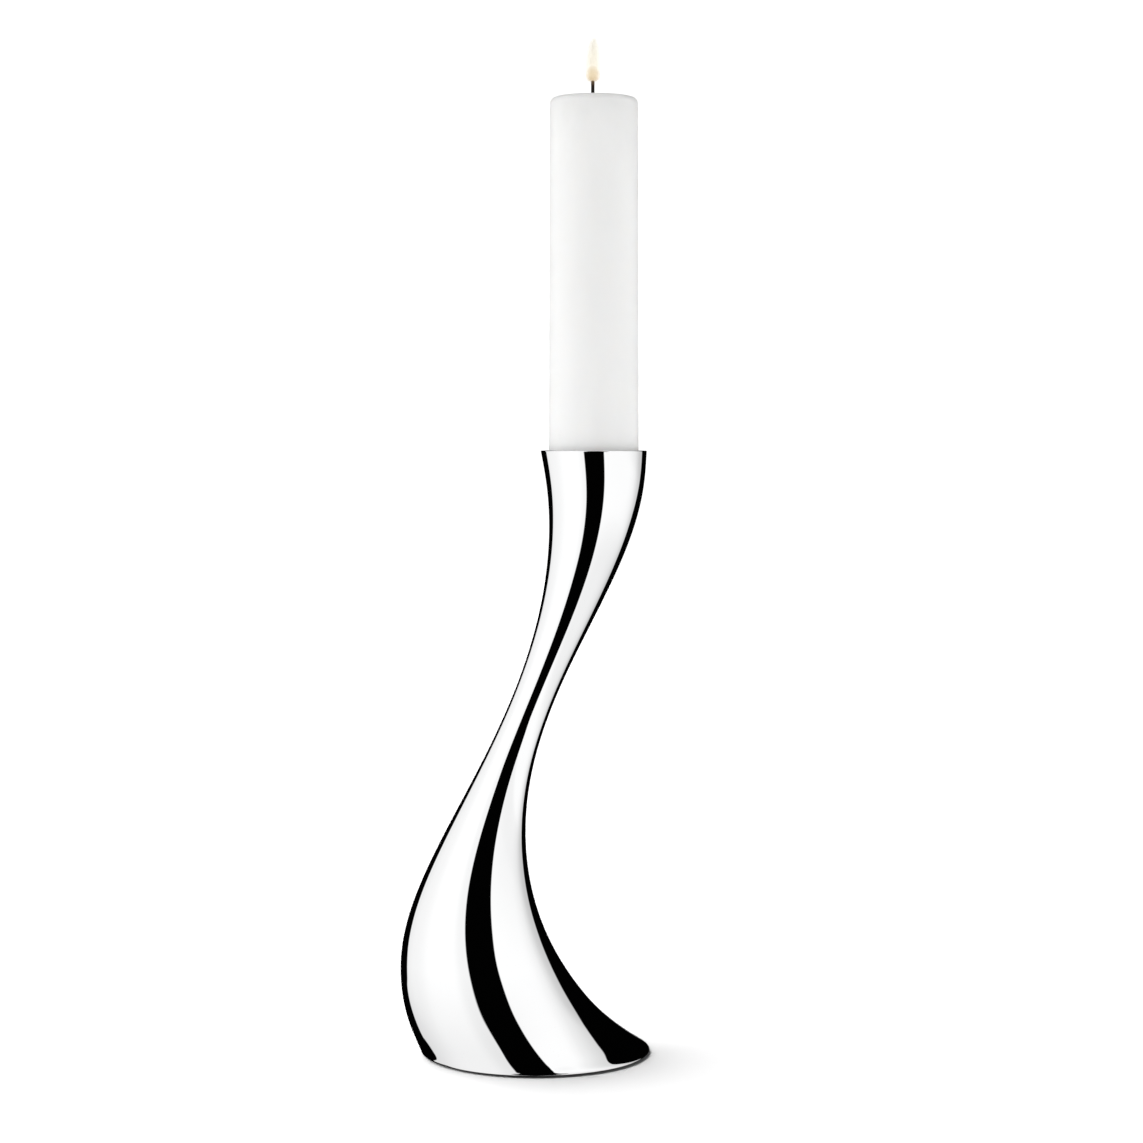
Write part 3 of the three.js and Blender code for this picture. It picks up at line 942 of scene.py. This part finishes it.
def make_flame():
    """Nested translucent layers: cream outside, and a tan core round the wick's tip."""
    cream = [(0.0, (0.50, 0.36, 0.20)), (0.14, (0.91, 0.80, 0.58)), (0.35, (0.92, 0.83, 0.62)),
             (0.6, (0.89, 0.82, 0.63)), (1.0, (0.78, 0.73, 0.60))]
    tan = [(0.0, (0.80, 0.58, 0.30)), (0.6, (0.76, 0.55, 0.28)), (1.0, (0.86, 0.68, 0.44))]
    for i in range(FLAME_LAYERS):
        share = i / FLAME_LAYERS
        bottom = FLAME_BOTTOM + FLAME_RISE * share**0.5
        top = FLAME_TOP - FLAME_DROP * share
        radius = FLAME_R * (1 - FLAME_NARROWING * share)
        gas = flame_gas(f"flame_gas_{i}", FLAME_ALPHA, cream, bottom, top)
        flame_layer(f"flame_{i}", bottom, top, radius, gas, FLAME_DRIFT)
    for i in range(CORE_LAYERS):
        share = i / CORE_LAYERS
        bottom = CORE_BOTTOM + CORE_RISE * share
        top = CORE_TOP - CORE_DROP * share
        radius = CORE_R * (1 - CORE_NARROWING * share)
        gas = flame_gas(f"core_gas_{i}", CORE_ALPHA, tan, bottom, top)
        flame_layer(f"flame_core_{i}", bottom, top, radius, gas, CORE_DRIFT)


# ------------------------------------------------------------------ studio

CAMERA_DISTANCE = 1.784
CAMERA_HEIGHT = 0.4094
CAMERA_SIDE = 0.024
CAMERA_PITCH_DEG = 2.86
CAMERA_LENS = 85.17
CAMERA_SENSOR = 36.0


def make_camera():
    """A camera level with the rim, tilted down a little."""
    data = bpy.data.cameras.new("camera")
    data.lens = CAMERA_LENS
    data.sensor_width = CAMERA_SENSOR
    camera = bpy.data.objects.new("camera", data)
    camera.location = (CAMERA_SIDE, -CAMERA_DISTANCE, CAMERA_HEIGHT)
    camera.rotation_euler = (math.radians(90 - CAMERA_PITCH_DEG), 0, 0)
    bpy.context.scene.collection.objects.link(camera)
    bpy.context.scene.camera = camera


class Sky(Tree):
    """The studio round the object, painted on the world by direction.

    Azimuth and elevation are in degrees. Azimuth 0 is the dark room on the camera's side, and the
    azimuth grows towards +X. Tall white screens stand on both sides, and black flags behind them,
    to the left and right of the white background. Leftward is the azimuth counted towards -X.
    """

    def __init__(self):
        world = bpy.data.worlds.new("studio")
        world.use_nodes = True
        bpy.context.scene.world = world
        super().__init__(world.node_tree)
        self.tree.nodes.clear()
        direction = self.add("ShaderNodeSeparateXYZ")
        coordinates = self.add("ShaderNodeTexCoord")
        self.link(coordinates.outputs["Generated"], direction.inputs["Vector"])
        front = self.math("MULTIPLY", direction.outputs["Y"], -1)
        turn = self.math("ARCTAN2", direction.outputs["X"], front)
        self.azimuth = self.math("MULTIPLY", turn, 180 / math.pi)
        self.leftward = self.math("MULTIPLY", self.azimuth, -1)
        lift = self.math("ARCSINE", direction.outputs["Z"])
        self.elevation = self.math("MULTIPLY", lift, 180 / math.pi)

    def curve(self, source, points):
        """A smooth value over source, from points (source, value), level beyond the ends."""
        node = self.add("ShaderNodeFloatCurve")
        low, high = points[0][0], points[-1][0]
        self.link(self.share(source, low, high), node.inputs["Value"])
        values = [value for _, value in points]
        base, scale = min(values), max(max(values) - min(values), 1e-6)
        line = node.mapping.curves[0]
        while len(line.points) < len(points):
            line.points.new(0.5, 0.5)
        for point, (at, value) in zip(line.points, points):
            point.location = ((at - low) / (high - low), (value - base) / scale)
            point.handle_type = "AUTO_CLAMPED"
        node.mapping.update()
        return self.math("ADD", self.math("MULTIPLY", node.outputs["Value"], scale), base)

    def step(self, source, edge, soft):
        """0 below the edge and 1 above it, over a soft width."""
        rise = self.math("DIVIDE", self.math("SUBTRACT", source, edge), soft)
        return self.math("ADD", rise, 0.5, clamp=True)

    def inverse(self, share):
        return self.math("SUBTRACT", 1, share)

    def mix(self, a, b, factor):
        """a where factor is 0, and b where it is 1."""
        return self.math("ADD", a, self.math("MULTIPLY", factor, self.math("SUBTRACT", b, a)))


# Steps between parts of the studio: where each lies, in degrees, and over how many it blends.
FRONT_SEAM = (0, 0.1)
RIGHT_TOP = (33, 8)
RIGHT_MIDDLE = (-18, 10)
LEFT_MIDDLE = (-17.5, 8)
RIGHT_FLAG_FOOT = (-33, 3)
LEFT_FLAG_FOOT = (-54, 14)
BEHIND = (140, 16)
FLOOR_BAND = (-46, 16)
CEILING = (70, 12)
FILL_SIDE = (55, 30)
EDGE_BLEND = 1.5
GAP_BLEND = 8
GAP_SHARE = 0.5

DARK_LEVEL = 0.0005
FLOOR_BEHIND_LEVEL = 0.04
CEILING_LEVEL = 0.8
LEFT_FILL = 0.19
BACKDROP = 1.15


def right_screen(sky):
    """Brightness of the right screen, which fades towards its far edge and varies with height."""
    az, el = sky.azimuth, sky.elevation
    top = sky.curve(az, [(28, 1.02), (80, 1.02), (98, 0.96), (105, 0.905), (111, 0.87),
                         (116, 0.83), (121, 0.79), (128, 0.74)])
    high = sky.curve(az, [(28, 1.03), (80, 1.03), (98, 0.97), (110, 0.83), (120, 0.68),
                          (128, 0.63)])
    low = sky.curve(az, [(28, 1.04), (70, 1.03), (95, 0.965), (104, 0.90), (110, 0.83),
                         (118, 0.69), (128, 0.62)])
    by_height = sky.curve(el, [(-90, 0.97), (-45, 0.95), (-31, 0.88), (-28, 0.90), (-24, 0.955),
                               (-19, 1.0), (-9, 1.0), (-6, 0.94), (-1, 0.90), (8, 0.94),
                               (24, 1.0), (30, 1.02), (36, 1.06), (42, 1.10), (48, 1.13),
                               (54, 1.155), (60, 1.17), (90, 1.17)])
    high = sky.mix(high, top, sky.step(el, *RIGHT_TOP))
    across = sky.mix(low, high, sky.step(el, *RIGHT_MIDDLE))
    return sky.math("MULTIPLY", across, by_height)


def left_screen(sky):
    """Brightness of the left screen, which fades towards both its edges."""
    az, el = sky.leftward, sky.elevation
    high = sky.curve(az, [(20, 0.96), (26, 0.98), (34, 1.04), (42, 1.07), (70, 1.06), (80, 1.04),
                          (90, 1.0), (100, 0.97), (110, 0.955), (118, 0.93), (130, 0.88)])
    low = sky.curve(az, [(20, 0.96), (34, 1.0), (52, 1.06), (80, 1.03), (88, 1.0), (97, 0.965),
                         (105, 0.93), (118, 0.88), (130, 0.84)])
    return sky.mix(low, high, sky.step(el, *LEFT_MIDDLE))


def flags(sky):
    """1 on the black flags and 0 elsewhere. Their near edges follow curves over the elevation, and
    a half-lit gap stays between them, low behind the object."""
    el = sky.elevation
    right_edge = sky.curve(el, [(-60, 125), (-33, 123), (-27, 124), (-20, 123), (-12, 125.2),
                                (-6, 128.4), (0, 130.6), (6, 130.6), (12, 129.6), (18, 127.9),
                                (24, 126.5), (30, 126.4), (35, 127.5), (40, 129.1), (45, 129.8),
                                (48, 132.5), (60, 140)])
    left_edge = sky.curve(el, [(-60, 120), (-46, 113), (-38, 107), (-31, 104.5), (-28.4, 105),
                               (-27.5, 112), (-26.9, 119.5), (-26.5, 123.5), (-26, 126.5),
                               (-25.3, 128.8), (-24.3, 131), (-20, 131.5), (-14, 132.8),
                               (-10, 129.4), (-7, 129), (-3, 129.8), (1, 131), (5, 132.8),
                               (10, 134.6), (60, 136)])
    gap_edge = sky.curve(el, [(-60, 190), (-20, 190), (-15, 172), (-8, 174), (-2, 177), (6, 190),
                              (40, 190)])
    right = sky.math("MULTIPLY", sky.step(sky.azimuth, right_edge, EDGE_BLEND),
                     sky.step(el, *RIGHT_FLAG_FOOT))
    left = sky.math("MULTIPLY", sky.step(sky.leftward, left_edge, EDGE_BLEND),
                    sky.step(el, *LEFT_FLAG_FOOT))
    gap = sky.math("MULTIPLY", sky.step(sky.azimuth, gap_edge, GAP_BLEND), GAP_SHARE)
    return sky.math("MULTIPLY", sky.math("MAXIMUM", right, left), sky.inverse(gap))


def room(sky):
    """1 in the dark room on the camera's side, between the screens, and 0 elsewhere."""
    el = sky.elevation
    left_edge = sky.curve(el, [(-90, -49), (-70, -36.5), (-60, -30.5), (-46, -22.9), (-40, -20),
                               (-30, -16.4), (-21, -16.2), (-17, -20.5), (-12, -23.5),
                               (-8, -22.8), (-2, -21.4), (8, -20.1), (13, -18.8), (18, -15.2),
                               (22, -14.1), (25, -14.6), (29, -17.3), (38, -18.7), (90, -19)])
    right_edge = sky.curve(el, [(-90, 72), (-70, 52), (-60, 40), (-40, 28.3), (-31, 24),
                                (-24, 22), (-12, 21.6), (-9, 26.2), (-6, 28.8), (2, 30.8),
                                (12, 33.4), (22, 34.8), (30, 30.6), (37, 27.7), (52, 27.8),
                                (57, 29.2), (63, 33), (75, 36), (90, 36)])
    return sky.math("MULTIPLY", sky.step(sky.azimuth, left_edge, EDGE_BLEND),
                    sky.inverse(sky.step(sky.azimuth, right_edge, EDGE_BLEND)))


def studio_level(sky):
    """How bright the studio is in every direction."""
    screens = sky.mix(left_screen(sky), right_screen(sky), sky.step(sky.azimuth, *FRONT_SEAM))
    level = sky.mix(screens, DARK_LEVEL, sky.math("MAXIMUM", flags(sky), room(sky)))
    behind = sky.step(sky.math("ABSOLUTE", sky.azimuth), *BEHIND)
    below = sky.inverse(sky.step(sky.elevation, *FLOOR_BAND))
    level = sky.mix(level, FLOOR_BEHIND_LEVEL, sky.math("MULTIPLY", behind, below))
    return sky.mix(level, CEILING_LEVEL, sky.step(sky.elevation, *CEILING))


def paint_studio():
    """Lights the object from all round, and shows the camera a plain white background. The left
    screen gives matt surfaces a little more light than it shows in a mirror."""
    sky = Sky()
    mirrored = studio_level(sky)
    fill = sky.math("MULTIPLY", sky.step(sky.leftward, *FILL_SIDE), LEFT_FILL)
    filled = sky.math("MULTIPLY", mirrored, sky.math("ADD", 1, fill))
    path = sky.add("ShaderNodeLightPath")
    level = sky.mix(filled, mirrored, path.outputs["Is Glossy Ray"])

    lit = sky.add("ShaderNodeBackground")
    sky.link(level, lit.inputs["Color"])
    seen = sky.add("ShaderNodeBackground")
    seen.inputs["Color"].default_value = (1, 1, 1, 1)
    seen.inputs["Strength"].default_value = BACKDROP
    either = sky.add("ShaderNodeMixShader")
    sky.link(path.outputs["Is Camera Ray"], either.inputs["Fac"])
    sky.link(lit.outputs["Background"], either.inputs[1])
    sky.link(seen.outputs["Background"], either.inputs[2])
    output = sky.add("ShaderNodeOutputWorld")
    sky.link(either.outputs["Shader"], output.inputs["Surface"])


FLOOR_HALF = 6.0
FLOOR_SHADE = 0.16
FLOOR_MOTTLE = 0.01
FLOOR_LIGHT = 42.3
FLOOR_LIGHT_FROM = (-0.70, 0.48, 0.53)
FLOOR_LIGHT_SPREAD_DEG = 88


def make_floor():
    """A plain table top that its own light lifts to white, and that mirrors don't show."""
    n = Nodes("studio_floor")
    n.set(Roughness=0.9, Specular_IOR_Level=0.0, IOR=1.0)
    n.colour(n.ramp(n.noise(3), [(0.3, FLOOR_SHADE), (0.7, FLOOR_SHADE + FLOOR_MOTTLE)]))
    corners = [(-FLOOR_HALF, -FLOOR_HALF, 0), (FLOOR_HALF, -FLOOR_HALF, 0),
               (FLOOR_HALF, FLOOR_HALF, 0), (-FLOOR_HALF, FLOOR_HALF, 0)]
    mesh = bpy.data.meshes.new("floor")
    mesh.from_pydata(corners, [], [(0, 1, 2, 3)])
    mesh.materials.append(n.material)
    floor = bpy.data.objects.new("floor", mesh)
    floor.visible_glossy = False
    bpy.context.scene.collection.objects.link(floor)
    return floor


def light_floor(floor):
    """A broad soft light on the floor alone, from the left, behind and above. It throws the
    contact shadow."""
    data = bpy.data.lights.new("floor_light", "SUN")
    data.energy = FLOOR_LIGHT
    data.angle = math.radians(FLOOR_LIGHT_SPREAD_DEG)
    light = bpy.data.objects.new("floor_light", data)
    light.rotation_euler = Vector(FLOOR_LIGHT_FROM).to_track_quat("Z", "Y").to_euler()
    lit = bpy.data.collections.new("lit_by_floor_light")
    lit.objects.link(floor)
    light.light_linking.receiver_collection = lit
    bpy.context.scene.collection.objects.link(light)


# ------------------------------------------------------------------ assembly

make_camera()
paint_studio()
light_floor(make_floor())
bpy.context.scene.view_settings.view_transform = "Standard"
bpy.context.scene.cycles.transparent_max_bounces = TRANSPARENT_BOUNCES

steel = rolled_steel()
zinc = zinc_plate()

make_column(polished_metal())
make_cup(turned_metal(CUP_X))
make_seal(silicone())
make_pad(pressed_felt())
make_plate(steel)
make_ring(steel)
make_weight(cast_iron())
threaded_stem("weight_bolt", "ballast_bolt", BOLT_SHANK_R, BOLT_PITCH, BOLT_FLATS, zinc)
make_washer(zinc)
make_nut(zinc)
for number, node in enumerate(SCREW_NODES, 1):
    threaded_stem(f"plate_screw_{number}", node, SCREW_SHANK_R, SCREW_PITCH, SCREW_FLATS, zinc)
make_wax(
    paraffin("pillar_paraffin", (0.928, 0.928, 0.922), (0.908, 0.908, 0.90), (0.38, 0.52)),
    paraffin("melted_paraffin", (0.87, 0.865, 0.84), (0.83, 0.825, 0.80), (0.04, 0.08)),
)
make_wick(charred_cotton())
make_flame()
